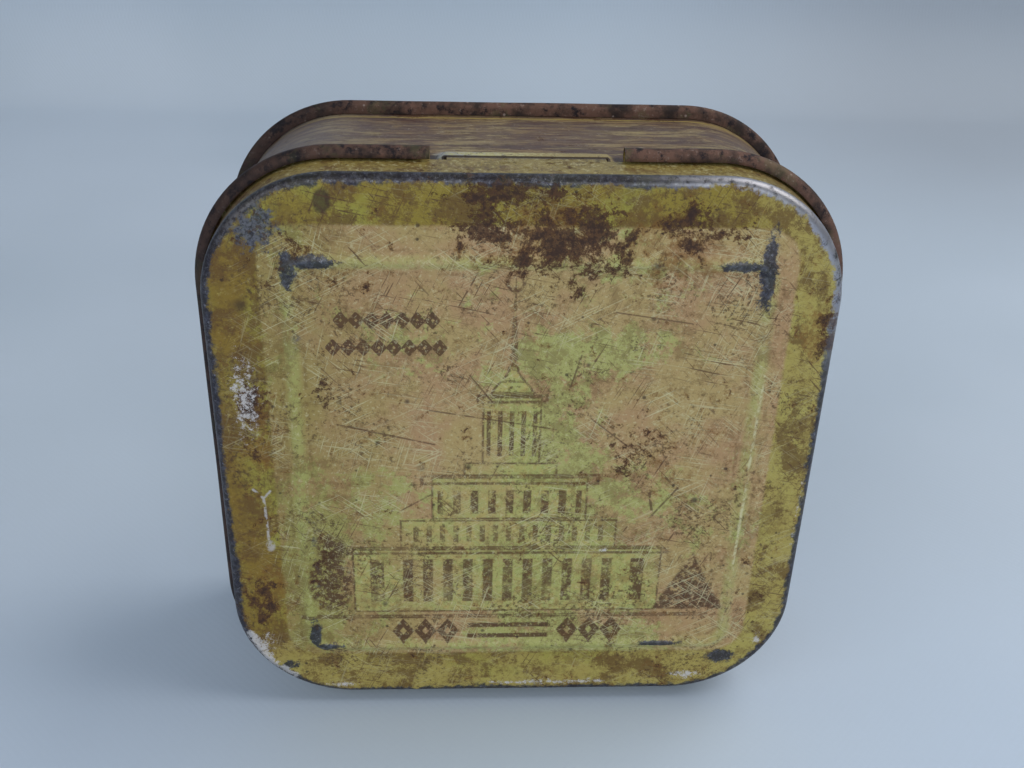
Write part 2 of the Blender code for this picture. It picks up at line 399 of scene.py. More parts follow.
def make_base_plate():
    """The section runs from the rolled edge's lip in front of the flange to the plate's middle."""
    around = stations()
    roll = (ROLL_OFFSET, ROLL_DEPTH)
    lip_front = ROLL_DEPTH - ROLL_OUTER
    lip_back = ROLL_DEPTH - ROLL_INNER
    grid = [
        (ring(around, BASE_LIP[0], lip_front + 0.05), ring(around, BASE_LIP[0], lip_back)),
        (ring(around, BASE_LIP[1], lip_front), ring(around, BASE_LIP[1], lip_back)),
    ]
    for step in range(19):
        arcs = [on_arc(roll, radius, -90.0 + 10.0 * step) for radius in (ROLL_OUTER, ROLL_INNER)]
        grid.append([ring(around, *arc) for arc in arcs])
    flat_from = len(grid)
    grid.append([ring(around, -BASE_FLAT_INSET, depth) for depth in (DEPTH, DEPTH - SHEET)])
    for step in range(1, 17):
        part = 1 - step / 17
        size = ((HALF - BASE_FLAT_INSET) * part, (CORNER - BASE_FLAT_INSET) * part)
        grid.append([inner_ring(around, *size, depth, (0.0, 0.0)) for depth in (DEPTH, DEPTH - SHEET)])
    for j, pair in enumerate(grid):
        for a, b in zip(*pair):
            flat = Vector((a.x, 0.0, a.z))
            sag = 0.0
            if j > flat_from:
                reach = max(abs(a.x), abs(a.z)) / HALF
                ease = max(0.0, min(1.0, 1.4 - 1.4 * reach))
                sag = ease * (BASE_SAG + wavering(flat, 19.0, BASE_SAG, 6.0))
            a.y -= sag
            b.y -= sag
            if j < flat_from:
                out = flat.normalized() * min(0.0, wavering(flat, 9.0, 0.06, 4.0) - 0.02)
                a += out
                b += out

    def slots(j):
        return (EDGE, EDGE) if j < flat_from - 1 else (PRINTED, INSIDE)

    return shell("tin_base", grid, lambda i, j: True, True, slots, EDGE)


# -------- material arithmetic


def linear(red, green, blue):
    """An sRGB colour, 0 to 255, as the linear colour that a shader takes."""
    found = []
    for part in (red / 255, green / 255, blue / 255):
        found.append(part / 12.92 if part <= 0.04045 else ((part + 0.055) / 1.055) ** 2.4)
    return (*found, 1.0)


class Num:
    """A number that varies over the surface, kept as a node's output."""

    def __init__(self, sheet, socket):
        self.sheet = sheet
        self.socket = socket

    def __add__(self, other):
        return self.sheet.math("ADD", self, other)

    def __radd__(self, other):
        return self.sheet.math("ADD", other, self)

    def __sub__(self, other):
        return self.sheet.math("SUBTRACT", self, other)

    def __rsub__(self, other):
        return self.sheet.math("SUBTRACT", other, self)

    def __mul__(self, other):
        return self.sheet.math("MULTIPLY", self, other)

    def __rmul__(self, other):
        return self.sheet.math("MULTIPLY", other, self)

    def __truediv__(self, other):
        return self.sheet.math("DIVIDE", self, other)


class Sheet:
    """A material's node tree, with the object's own coordinates in millimetres as x, d (depth) and z."""

    def __init__(self, name):
        self.material = bpy.data.materials.new(name)
        self.material.use_nodes = True
        self.tree = self.material.node_tree
        self.shader = self.tree.nodes["Principled BSDF"]
        at = self.node("ShaderNodeTexCoord").outputs["Object"]
        centre = (0.0, CENTRE_DEPTH, -CENTRE_Z)
        inputs = (("Vector", at), ("Scale", (1 / MM,) * 3), ("Location", centre))
        self.point = self.node("ShaderNodeMapping", inputs, vector_type="POINT").outputs[0]
        parts = self.node("ShaderNodeSeparateXYZ", ((0, self.point),))
        self.x, self.d, self.z = (Num(self, parts.outputs[k]) for k in range(3))

    def node(self, kind, inputs=(), **settings):
        """A new node; inputs are pairs of a socket and the number, colour or output that it takes."""
        made = self.tree.nodes.new(kind)
        for key, value in settings.items():
            setattr(made, key, value)
        for socket, value in inputs:
            self.feed(made.inputs[socket], value)
        return made

    def feed(self, socket, value):
        if isinstance(value, Num):
            self.tree.links.new(value.socket, socket)
        elif hasattr(value, "is_output"):
            self.tree.links.new(value, socket)
        else:
            socket.default_value = value

    def math(self, operation, a, b=None):
        values = (a,) if b is None else (a, b)
        return Num(self, self.node("ShaderNodeMath", enumerate(values), operation=operation).outputs[0])

    def least(self, a, b):
        return self.math("MINIMUM", a, b)

    def most(self, a, b):
        return self.math("MAXIMUM", a, b)

    def size_of(self, a):
        return self.math("ABSOLUTE", a)

    def step(self, value, low, high):
        """0 below low and 1 above high (or the other way round), smooth between."""
        flip = low > high
        ends = (("From Min", min(low, high)), ("From Max", max(low, high)))
        results = (("To Min", 1.0 if flip else 0.0), ("To Max", 0.0 if flip else 1.0))
        inputs = (("Value", value), *ends, *results)
        # a smooth step never leaves its range, and a clamp would make the shader too big
        made = self.node("ShaderNodeMapRange", inputs, interpolation_type="SMOOTHSTEP", clamp=False)
        return Num(self, made.outputs["Result"])

    def vector(self, x, y, z):
        return self.node("ShaderNodeCombineXYZ", enumerate((x, y, z))).outputs[0]

    def noise(self, size, detail=3.0, rough=0.55, seed=0.0, at=None, warp=0.0):
        """Noise from 0 to 1 about 0.5; size is its largest feature in millimetres."""
        inputs = (
            ("Vector", at or self.point),
            ("W", seed),
            ("Scale", 1.0 / size),
            ("Detail", detail),
            ("Roughness", rough),
            ("Distortion", warp),
        )
        return Num(self, self.node("ShaderNodeTexNoise", inputs, noise_dimensions="4D").outputs[0])

    def torn(self, size, detail, rough, seed, low, high):
        """Ragged patches: noise cut off between two levels."""
        return self.step(self.noise(size, detail, rough, seed=seed), low, high)

    def cells(self, size):
        """(distance to the nearest speck's middle, that speck's own random number)."""
        inputs = (("Vector", self.point), ("Scale", 1.0 / size), ("Randomness", 1.0))
        made = self.node("ShaderNodeTexVoronoi", inputs, feature="F1")
        split = self.node("ShaderNodeSeparateColor", ((0, made.outputs["Color"]),))
        return Num(self, made.outputs["Distance"]), Num(self, split.outputs[0])

    def specks(self, size, radius, share):
        """Round specks on a share of the cells."""
        distance, chance = self.cells(size)
        grown = chance * (radius / size / share)
        inside = self.step(distance - grown, 0.06, -0.06)
        return inside * self.step(chance, share, share - 0.02)

    def box(self, x, z, low, high, soft=0.1, rounding=0.0):
        """1 inside a rectangle of the panel, from its low to its high corner."""
        centre = ((low[0] + high[0]) / 2, (low[1] + high[1]) / 2)
        reach_x = self.size_of(x - centre[0]) - ((high[0] - low[0]) / 2 - rounding)
        reach_z = self.size_of(z - centre[1]) - ((high[1] - low[1]) / 2 - rounding)
        if not rounding:
            return self.step(self.most(reach_x, reach_z), soft, -soft)
        return self.step(self.rounded(reach_x, reach_z) - rounding, soft, -soft)

    def rounded(self, reach_x, reach_z):
        """Distance past a corner, from how far it is past each side."""
        across = self.most(reach_x, 0.0)
        up = self.most(reach_z, 0.0)
        return self.math("SQRT", across * across + up * up)

    def past_square(self, x, z, half, radius):
        """Distance outside a rounded square round the middle, negative inside it."""
        past_x = self.size_of(x) - (half - radius)
        past_z = self.size_of(z) - (half - radius)
        return self.rounded(past_x, past_z) + self.least(self.most(past_x, past_z), 0.0) - radius

    def blob(self, x, z, centre, radius, soft=1.0):
        """1 in the middle of an ellipse of the panel, falling to 0 at its edge."""
        across = (x - centre[0]) / radius[0]
        up = (z - centre[1]) / radius[1]
        return self.step(self.math("SQRT", across * across + up * up), 1.0, 1.0 - soft)

    def blobs(self, *rows):
        """The strongest of several blobs, each (middle x, middle z, half width, half height, strength)."""
        return self.any_of(*(self.blob(self.x, self.z, row[:2], row[2:4]) * row[4] for row in rows))

    def line(self, x, z, start, end, width, soft=0.08):
        """1 on a straight stroke between two places of the panel."""
        run = (end[0] - start[0], end[1] - start[1])
        length = run[0] ** 2 + run[1] ** 2
        off_x = x - start[0]
        off_z = z - start[1]
        along = off_x * (run[0] / length) + off_z * (run[1] / length)
        along = self.least(self.most(along, 0.0), 1.0)
        away_x = off_x - along * run[0]
        away_z = off_z - along * run[1]
        away = self.math("SQRT", away_x * away_x + away_z * away_z)
        return self.step(away - width / 2, soft, -soft)

    def lines(self, *rows):
        """Several strokes, each (from x, from z, to x, to z, width)."""
        return self.any_of(*(self.line(self.x, self.z, row[:2], row[2:4], row[4]) for row in rows))

    def streaks(self, degrees, length, width, seed, cut):
        """Thin broken streaks in one direction of the panel."""
        turn = (0.0, -math.radians(degrees), 0.0)
        inputs = (("Vector", self.point), ("Rotation", turn), ("Scale", (length, 1000.0, width)))
        turned = self.node("ShaderNodeMapping", inputs, vector_type="TEXTURE")
        streak = self.noise(1.0, 1.0, 0.4, seed=seed, at=turned.outputs[0], warp=0.6)
        patchy = self.step(self.noise(7.0, 1.0, seed=seed + 3.1), 0.45, 0.62)
        return self.step(streak, cut, cut + 0.05) * patchy

    def scratches(self, *rows):
        """Streaks in several directions, each row as for streaks."""
        return self.any_of(*(self.streaks(*row) for row in rows))

    def any_of(self, *masks):
        found = masks[0]
        for mask in masks[1:]:
            found = self.most(found, mask)
        return found

    def mix(self, under, over, share):
        """One colour laid over another by a share from 0 to 1."""
        inputs = ((0, share), (6, under), (7, over))
        return self.node("ShaderNodeMix", inputs, data_type="RGBA", clamp_factor=True).outputs[2]

    def blend(self, under, over, share):
        """One number laid over another."""
        inputs = ((0, share), (2, under), (3, over))
        made = self.node("ShaderNodeMix", inputs, data_type="FLOAT", clamp_factor=True)
        return Num(self, made.outputs[0])

    def finish(self, colour, metallic, roughness, height, strength=0.5, specular=0.2):
        """height is in millimetres."""
        inputs = (("Strength", strength), ("Distance", MM), ("Height", height))
        bump = self.node("ShaderNodeBump", inputs)
        for socket, value in (
            ("Base Color", colour),
            ("Metallic", metallic),
            ("Roughness", roughness),
            ("Specular IOR Level", specular),
            ("Normal", bump.outputs[0]),
        ):
            self.feed(self.shader.inputs[socket], value)
        return self.material


# -------- colours, as sRGB

BORDER = linear(150, 130, 54)
BORDER_GREEN = linear(162, 156, 70)
BORDER_PALE = linear(190, 172, 100)
BORDER_BROWN = linear(106, 78, 42)
DIRT = linear(84, 64, 44)
TAN = linear(184, 158, 104)
TAN_PINK = linear(182, 146, 104)
LIME = linear(178, 180, 106)
CREAM = linear(214, 206, 160)
INK = linear(88, 60, 44)
RUST = linear(84, 57, 42)
RUST_ORANGE = linear(134, 92, 46)
RUST_DARK = linear(54, 40, 37)
STEEL = linear(92, 94, 106)
STEEL_BRIGHT = linear(176, 176, 184)
STEEL_DARK = linear(54, 55, 66)
CHALK = linear(208, 202, 198)
BORDER_AMBER = linear(128, 94, 40)
FIELD_PAINTED_SHADE = linear(140, 124, 60)
STEEL_DULL = linear(122, 122, 128)
SKIRT = linear(142, 124, 66)
SKIRT_PALE = linear(162, 144, 86)
CURL = linear(60, 49, 45)
CURL_PALE = linear(112, 84, 72)
CURL_DARK = linear(40, 34, 38)
CURL_GREEN = linear(96, 96, 66)
CURL_BRIGHT = linear(164, 146, 136)
CURL_PAINTED_SHADE = linear(38, 34, 36)
WOOD = linear(138, 114, 80)
WOOD_PALE = linear(156, 138, 98)
WOOD_STREAK = linear(92, 72, 64)
WOOD_GRAIN = linear(84, 64, 58)
WOOD_DARK = linear(82, 64, 64)
WOOD_THREAD = linear(80, 50, 42)
WOOD_LIGHT = linear(170, 154, 100)
WOOD_RING = linear(104, 82, 70)
WOOD_LEAF = linear(94, 74, 72)
STRIPE = linear(178, 158, 84)
WALL_DIRT = linear(70, 54, 44)
BUMP_PALE = linear(204, 198, 142)
BUMP_TAN = linear(168, 150, 98)
SCRAPED = linear(186, 182, 184)
WALL_WORN = linear(176, 166, 140)
WALL_GREY = linear(118, 114, 116)
SPANGLE = linear(190, 188, 180)
TIN_HALO = linear(124, 92, 58)
TIN_RUST = linear(84, 50, 34)
TIN_RUBBED = linear(206, 206, 204)
VARNISH = linear(126, 108, 62)
VARNISH_PALE = linear(146, 134, 88)
FLOOR = linear(196, 208, 220)
FLOOR_PALE = linear(206, 217, 229)
FLOOR_BLUE = linear(214, 232, 255)
FLOOR_PAINTED_SHADE = linear(168, 176, 186)
SCUFF = linear(196, 190, 184)
TIN = linear(158, 152, 136)
TIN_DULL = linear(132, 126, 114)

# The pavilion stands this far left of the middle, in millimetres
PAVILION_SHIFT = 1.1


def lid_print():
    """The lid from outside: print, ink, dirt, rust, worn sheet with a painted highlight, chalk and the
    skirt, each over the last.
    """
    s = Sheet("lid_print")
    x, d, z = s.x, s.d, s.z
    fine = s.noise(0.45, 3.0, 0.7, seed=1.0)
    grit = s.noise(1.1, 5.0, 0.72, seed=2.0)
    patch = s.noise(6.0, 4.0, 0.6, seed=3.0)
    cloud = s.noise(17.0, 3.0, 0.5, seed=4.0, warp=0.6)
    wobble = (grit - 0.5) * 0.6
    xw = x + wobble
    zw = z + wobble

    # printed ground, with painted shade on the field's left
    field = s.mix(TAN, TAN_PINK, s.step(patch, 0.4, 0.62))
    green = s.blobs(
        (-14.0, -4.0, 13.0, 11.0, 1.0), (8.0, 15.0, 16.0, 4.5, 1.0),
        (-1.0, 3.0, 9.0, 16.0, 1.0), (-4.0, -14.0, 20.0, 8.0, 0.7),
        (-24.0, -14.0, 7.0, 20.0, 1.3), (-2.0, -27.0, 30.0, 5.0, 0.9),
    )
    flaky = s.noise(2.6, 7.0, 0.8, seed=15.0)
    lime_share = s.step(cloud + green * 0.2 + (flaky - 0.5) * 1.1, 0.55, 0.66)
    field = s.mix(field, LIME, lime_share * 0.8)
    # painted shade: the field darker and greener towards the left, on the side away from the light
    painted_shade_field = s.step(x + (patch - 0.5) * 16.0, -8.0, -30.0)
    field = s.mix(field, FIELD_PAINTED_SHADE, painted_shade_field * 0.6)
    inner = s.box(xw, zw, (-28.6, -28.2), (29.5, 29.6), 0.25, 4.0)
    border = s.mix(BORDER, BORDER_GREEN, s.step(patch + cloud * 0.4, 0.64, 0.82) * 0.8)
    amber = s.step(x + (patch - 0.5) * 14.0, -27.0, -32.0)
    border = s.mix(border, BORDER_AMBER, amber * 0.55)
    paler_right = s.step(x + (patch - 0.5) * 22.0, 18.0, 29.0)
    paler = s.most(paler_right, s.step(z + (patch - 0.5) * 16.0, -24.0, -31.0))
    border = s.mix(border, BORDER_PALE, paler * 0.6)
    border = s.mix(border, BORDER_BROWN, s.torn(4.0, 7.0, 0.8, 9.0, 0.47, 0.56) * 0.8)
    ground = s.mix(border, field, inner)

    # the pressed frame catches paler print
    outside = s.past_square(x - RIDGE_SHIFT[0], z - RIDGE_SHIFT[1], RIDGE_HALF, RIDGE_RADIUS)
    on_ridge = s.step(s.size_of(outside + wobble), 1.2, 0.3)
    ground = s.mix(ground, LIME, on_ridge * (s.step(flaky, 0.42, 0.55) * 0.4 + 0.2))
    groove = s.step(s.size_of(s.size_of(outside) - 1.35 + wobble * 0.5), 0.35, 0.05)
    ground = s.mix(ground, BORDER_BROWN, groove * s.step(flaky, 0.48, 0.56) * 0.4)

    # a stepped pavilion with a needle, mirrored about its middle
    ax = s.size_of(x + PAVILION_SHIFT)
    needle = (24.4 - z) * 0.042
    crown = s.most(needle, s.step(z, 13.0, 9.4) * 2.0 + 0.4) - s.step(z, 13.0, 13.6) * 0.4
    spire = s.step(ax - crown, 0.12, -0.12) * s.box(ax, z, (-1, 9.0), (4, 23.6))
    drum = s.box(ax, z, (-1, 0.4), (3.3, 9.2))
    tier = s.box(ax, z, (-1, -7.4), (9.2, -1.6))
    hall = s.box(ax, z, (-1, -21.4), (18.9, -11.6))
    solids = s.any_of(
        spire, drum, tier, hall,
        s.box(ax, z, (-1, -11.6), (13.0, -7.4)),
        s.box(ax, z, (-1, -1.6), (5.4, 0.4)),
    )
    pale_wall = s.mix(LIME, BORDER_PALE, s.step(grit, 0.42, 0.62))
    ground = s.mix(ground, pale_wall, solids * s.step(patch, 0.3, 0.55) * 0.8)

    def bays(half, low, high, pitch, share):
        """Dark gaps between columns, mirrored about the middle."""
        turn = s.math("FRACT", ax / pitch + 0.5)
        gap = s.step(s.size_of(turn - 0.5), share + 0.05, share - 0.05)
        return gap * s.box(ax, z, (-1.0, low), (half, high))

    def outline(half, low, high, width):
        """The edges of a block of the pavilion, from its half width and its two heights."""
        around = s.box(ax, z, (-5.0, low - width), (half + width, high + width))
        within = s.box(ax, z, (-5.0, low + width), (half - width, high - width))
        return around * (1.0 - within)

    windows = s.any_of(
        bays(13.5, -19.9, -13.4, 2.45, 0.25),
        bays(8.6, -6.7, -3.4, 2.1, 0.22),
        bays(2.9, 1.4, 7.4, 1.35, 0.2),
        bays(12.4, -10.8, -8.4, 1.6, 0.2) * 0.8,
        s.box(ax, z, (15.2, -19.9), (16.9, -13.4)),
    )
    strokes = s.any_of(
        outline(18.9, -21.4, -11.6, 0.13),
        outline(19.6, -12.5, -11.9, 0.2),
        outline(13.0, -11.6, -7.7, 0.13),
        outline(9.2, -7.4, -1.6, 0.13),
        outline(10.4, -2.4, -1.3, 0.2),
        outline(5.4, -1.3, 0.4, 0.13),
        outline(3.3, 0.4, 9.2, 0.13),
        outline(3.9, 8.6, 9.4, 0.2),
        outline(25.5, -22.4, -22.1, 0.16),
        s.step(s.size_of(ax - crown), 0.28, 0.08) * s.box(ax, z, (-1, 9.0), (4, 13.2)),
        s.step(ax - needle, 0.1, -0.06) * s.box(ax, z, (-1, 13.0), (4, 24.2)),
        s.step(s.size_of(s.math("SQRT", ax * ax + (z - 23.2) * (z - 23.2)) - 0.9), 0.3, 0.1),
        s.step(s.size_of(s.math("FRACT", (z - 9.0) / 1.5) - 0.5), 0.16, 0.08) * spire * 0.7,
    )
    trees = s.any_of(
        s.blob(xw, zw, (-22.8, -17.0), (3.0, 4.8), 0.2),
        s.blob(xw, zw, (-22.6, -11.8), (2.2, 2.4), 0.4),
        s.step(s.size_of(xw - 21.8) - (-12.6 - zw) * 0.52, 0.3, -0.3) * s.step(zw, -21.6, -21.2),
    )
    leafy = trees * s.torn(0.9, 4.0, 0.8, 21.0, 0.4, 0.52)

    # two short rows of lozenges and a band of framed lozenges
    def lozenges(low, high, pitch, weight=0.34):
        middle = (low[1] + high[1]) / 2
        turn = s.size_of(s.math("FRACT", (x - low[0]) / pitch) - 0.5) * 2.0
        rise = s.size_of(z - middle) / ((high[1] - low[1]) / 2)
        shape = s.step(s.size_of(turn + rise - 0.66), weight, weight - 0.14)
        return shape * s.box(x, z, low, high, 0.05)

    ornament = s.any_of(
        lozenges((-20.9, 17.7), (-9.3, 19.7), 1.66, 0.52),
        lozenges((-21.9, 14.4), (-8.5, 16.4), 1.675, 0.52),
        lozenges((-15.5, -26.6), (-7.1, -22.6), 2.8, 0.42),
        lozenges((5.3, -26.6), (13.7, -22.6), 2.8, 0.42),
        s.box(x, z, (-6.0, -25.8), (4.2, -25.1)),
        s.box(x, z, (-6.0, -24.1), (4.2, -23.4)),
    )
    worn_ink = s.torn(0.9, 5.0, 0.8, 23.0, 0.38, 0.52)
    faded = s.torn(5.0, 4.0, 0.7, 24.0, 0.3, 0.55)
    pavilion_ink = s.any_of(windows, strokes * 0.9) * worn_ink * (faded * 0.5 + 0.5)
    ink = s.any_of(pavilion_ink, leafy, ornament * s.step(fine, 0.34, 0.44))
    colour = s.mix(ground, INK, ink * 0.9)

    # fine dirt and scratches
    speckle = s.noise(0.55, 3.0, 0.75, seed=11.0)
    colour = s.mix(colour, CREAM, s.step(speckle, 0.44, 0.36) * (inner * 0.35 + 0.1))
    mottle = s.step(s.noise(2.0, 7.0, 0.84, seed=5.0) + (cloud - 0.5) * 0.3, 0.5, 0.57)
    colour = s.mix(colour, BORDER_BROWN, mottle * 0.42)
    dirty = s.torn(9.0, 5.0, 0.75, 18.0, 0.46, 0.6)
    dirt = s.step(speckle + dirty * 0.07, 0.58, 0.63) * (dirty * 0.45 + 0.3)
    colour = s.mix(colour, DIRT, dirt)
    crumbs = s.noise(0.8, 6.0, 0.86, seed=17.0) + (flaky - 0.5) * 0.5
    colour = s.mix(colour, RUST_DARK, s.step(crumbs, 0.63, 0.67) * (1.0 - inner * 0.45) * 0.8)
    colour = s.mix(colour, BORDER_PALE, s.step(crumbs, 0.4, 0.36) * (1.0 - inner) * 0.5)
    light_marks = s.scratches(
        (28, 7.0, 0.16, 31.0, 0.61), (-38, 6.0, 0.15, 32.0, 0.62),
        (74, 6.0, 0.15, 33.0, 0.63), (-8, 8.0, 0.14, 34.0, 0.635),
    )
    colour = s.mix(colour, CREAM, light_marks * (inner * 0.35 + 0.25))
    edge_scrape = s.line(xw, z, (27.4, 12.0), (26.9, -14.0), 0.35) * s.step(grit, 0.44, 0.54)
    colour = s.mix(colour, CREAM, edge_scrape * 0.8)

    # rust, with a stain round it
    stain_at = s.blobs(
        (2.0, 28.5, 15.0, 8.5, 1.0), (16.0, 28.0, 13.0, 7.0, 0.85),
        (33.0, 17.0, 3.5, 6.0, 1.0), (-31.0, -20.0, 5.0, 9.0, 0.8),
        (-30.0, 6.0, 3.0, 10.0, 0.8), (-26.0, 27.0, 6.0, 4.0, 0.6),
        (17.0, 1.0, 11.0, 12.0, 0.35),
    )
    flakes = (s.noise(4.5, 8.0, 0.8, seed=6.0, warp=1.0) - 0.5) * 1.5
    flakes = flakes + (s.noise(1.5, 6.0, 0.82, seed=16.0) - 0.5) * 1.7
    stain = s.step(flakes + stain_at * 0.4, 0.12, 0.28)
    colour = s.mix(colour, RUST_ORANGE, stain * (s.step(grit, 0.4, 0.6) * 0.35 + 0.3))
    deep_at = s.blobs(
        (4.0, 27.5, 15.0, 9.0, 0.9), (-4.0, 29.5, 6.5, 5.0, 1.0),
        (-2.0, 33.2, 14.0, 3.0, 1.0), (18.0, 29.5, 10.0, 5.0, 0.8),
        (34.0, 17.5, 2.8, 5.5, 1.0), (-31.5, -21.0, 4.0, 9.0, 0.8),
        (-30.4, 8.0, 3.2, 9.0, 0.75), (-27.0, 27.0, 7.0, 6.0, 0.7),
        (30.0, -22.0, 4.0, 10.0, 0.5), (13.0, 3.0, 9.0, 9.0, 0.35),
        (-22.4, 8.0, 3.4, 8.0, 0.55), (-23.0, -15.0, 3.0, 7.0, 0.4),
    )
    rust = s.step(flakes + deep_at * 0.46, 0.26, 0.34)
    colour = s.mix(colour, RUST, rust * 0.85)
    black = s.step(flakes + deep_at * 0.4 + (fine - 0.5) * 0.6, 0.36, 0.46)
    colour = s.mix(colour, RUST_DARK, black * 0.75)
    dark_specks = s.any_of(
        s.specks(1.5, 0.24, 0.3),
        s.specks(3.4, 0.42, 0.25),
        s.specks(8.0, 0.75, 0.2),
        s.blob(xw, zw, (-21.4, 32.2), (1.1, 1.6), 0.35),
    )
    colour = s.mix(colour, RUST_DARK, dark_specks * 0.75)
    dark_marks = s.any_of(
        s.scratches(
            (64, 5.0, 0.18, 41.0, 0.63),
            (-12, 6.0, 0.17, 42.0, 0.62),
            (-47, 5.0, 0.17, 43.0, 0.64),
        ),
        s.lines(
            (-10.5, 7.5, 4.0, 5.0, 0.18), (-21.0, 5.6, -10.0, 3.0, 0.2),
            (-14.5, -6.5, -10.5, -4.0, 0.2), (19.0, -3.0, 16.0, -7.2, 0.25),
            (15.6, -3.8, 16.2, -7.0, 0.35), (6.6, 15.0, 5.4, 10.5, 0.2),
            (-6.0, 12.0, -3.4, 8.6, 0.2), (8.0, 6.4, 12.6, 2.6, 0.18),
            (10.0, 19.8, 19.0, 18.4, 0.16),
        ),
    )
    colour = s.mix(colour, INK, dark_marks * s.step(grit, 0.36, 0.5) * 0.75)

    # worn through to the sheet, with a painted highlight on the edge at the upper right
    rim = s.past_square(x, z, HALF, CORNER)
    ragged = (s.noise(1.2, 6.0, 0.78, seed=7.0) - 0.5) * 2.6 + (patch - 0.5) * 1.8
    front = s.step(d, 1.35, 1.0)
    worn_edge = s.step(rim + ragged * s.step(d, 0.7, 0.05), -1.25, -0.75) * front
    bare_at = s.blobs(
        (-22.8, 25.4, 4.8, 1.5, 1.0), (-25.4, 24.8, 1.8, 4.0, 1.0),
        (-28.6, 29.3, 5.6, 5.6, 0.72), (23.4, 25.3, 4.4, 1.3, 1.0),
        (26.2, 24.8, 1.8, 8.4, 1.0), (-25.1, -24.9, 1.4, 3.8, 1.0),
        (-23.6, -26.9, 3.4, 1.1, 1.0), (18.8, -26.8, 5.2, 0.7, 1.0),
        (27.0, -29.2, 3.4, 2.0, 1.0), (-28.5, -30.0, 2.6, 1.6, 0.7),
    )
    break_up = (s.noise(1.3, 6.0, 0.8, seed=13.0) - 0.5) * 2.6
    bare = s.any_of(worn_edge, s.step(bare_at + break_up * s.step(bare_at, 0.0, 0.25), 0.34, 0.62))
    pits = s.specks(6.5, 0.75, 0.34) * s.step(fine, 0.36, 0.48) * inner
    blue = s.line(xw, z, (-24.7, -6.0), (-24.4, -21.0), 0.8, 0.4) * s.step(grit, 0.5, 0.6) * 0.55
    bare = s.any_of(bare * (1.0 - rust * 0.6), pits * 0.85, blue)
    steel = s.mix(STEEL_DARK, STEEL, s.torn(0.8, 5.0, 0.8, 8.0, 0.46, 0.62))
    steel = s.mix(steel, STEEL_BRIGHT, s.torn(0.5, 4.0, 0.8, 14.0, 0.56, 0.66) * 0.45)
    dulled = s.blob(x, z, (-28.6, 29.3), (6.0, 6.0)) * s.step(fine, 0.42, 0.56)
    steel = s.mix(steel, STEEL_DULL, dulled * 0.8)
    # painted highlight: bright steel painted on the edge band at the upper right corner
    painted_highlight = s.step(x + z, 44.0, 58.0) * s.step(rim, -2.0, -1.2) * s.step(grit, 0.34, 0.5)
    steel = s.mix(steel, STEEL_BRIGHT, painted_highlight * 0.85)
    colour = s.mix(colour, steel, bare * 0.9)

    # chalky patches where the lacquer has lifted
    lifted_at = s.any_of(
        s.blobs(
            (-31.2, 9.0, 3.4, 12.0, 1.0), (-31.4, -26.6, 2.6, 5.0, 0.9),
            (-22.0, -33.4, 5.0, 1.0, 1.0), (22.5, -32.4, 6.0, 1.6, 1.0),
        ),
        s.line(x, z, (-33.2, -25.0), (-31.2, -29.2), 1.8, 0.9) * 1.2,
        s.line(x, z, (-31.2, -29.2), (-28.2, -31.7), 1.4, 0.8) * 1.1,
        s.line(x, z, (-3.0, -33.4), (12.0, -33.3), 0.9, 0.6),
        s.line(x, z, (34.0, -2.0), (33.8, -12.0), 0.5, 0.5) * 0.8,
        s.blobs(
            (31.5, -26.5, 1.3, 2.2, 1.0), (10.6, -12.2, 1.0, 0.7, 1.2),
        ),
    )
    crumbling = lifted_at + (s.noise(0.9, 8.0, 0.9, seed=10.0) - 0.5) * 5.0
    lifted = s.step(crumbling, 0.86, 1.0) * s.step(lifted_at, 0.0, 0.2) * front
    trail = s.any_of(
        s.line(xw, z, (-31.2, -3.2), (-30.1, -4.4), 0.3),
        s.line(xw, z, (-29.2, -3.4), (-30.1, -4.4), 0.25),
        s.line(xw, z, (-30.1, -4.4), (-29.9, -10.6), 0.3),
        s.blob(x, z, (-29.8, -11.3), (0.7, 1.0), 0.5),
    ) * s.step(grit, 0.4, 0.5)
    colour = s.mix(colour, CHALK, s.any_of(lifted, trail * 0.7) * 0.9)

    # the skirt is plainer, browner towards the corners
    on_skirt = s.step(d, 1.0, 1.3)
    skirt = s.mix(SKIRT, SKIRT_PALE, s.step(patch + fine * 0.3, 0.5, 0.8))
    skirt = s.mix(skirt, DIRT, s.step(s.size_of(x) + (patch - 0.5) * 14.0, 20.0, 32.0) * 0.55)
    skirt = s.mix(skirt, BORDER_BROWN, s.torn(2.6, 6.0, 0.78, 12.0, 0.46, 0.62) * 0.75)
    skirt = s.mix(skirt, DIRT, s.step(speckle, 0.54, 0.6) * 0.55)
    skirt = s.mix(skirt, CREAM, s.step(speckle + (patch - 0.5) * 0.3, 0.43, 0.37) * 0.45)
    skirt_rust = s.step(flakes + s.step(s.size_of(x), 20.0, 34.0) * 0.15, 0.18, 0.3)
    skirt = s.mix(skirt, RUST, skirt_rust * 0.8)
    skirt = s.mix(skirt, RUST_DARK, dark_specks * 0.7)
    turned = s.step(d, HINGE_DEPTH - 1.3, HINGE_DEPTH - 0.8)
    skirt = s.mix(skirt, RUST_DARK, turned * 0.85)
    colour = s.mix(colour, skirt, on_skirt)
    metallic = s.blend(0.0, 0.7, bare * (1.0 - on_skirt))
    roughness = s.blend(0.42, 0.72, s.any_of(rust, lifted, stain * 0.6)) + (fine - 0.5) * 0.3
    roughness = s.blend(roughness, 0.38, bare * 0.8)
    # few layers make the relief, because a shader works each of them out three times over
    height = fine * 0.035 + grit * 0.05 + rust * 0.06 - light_marks * 0.02
    return s.finish(colour, metallic, roughness, height, 0.7)


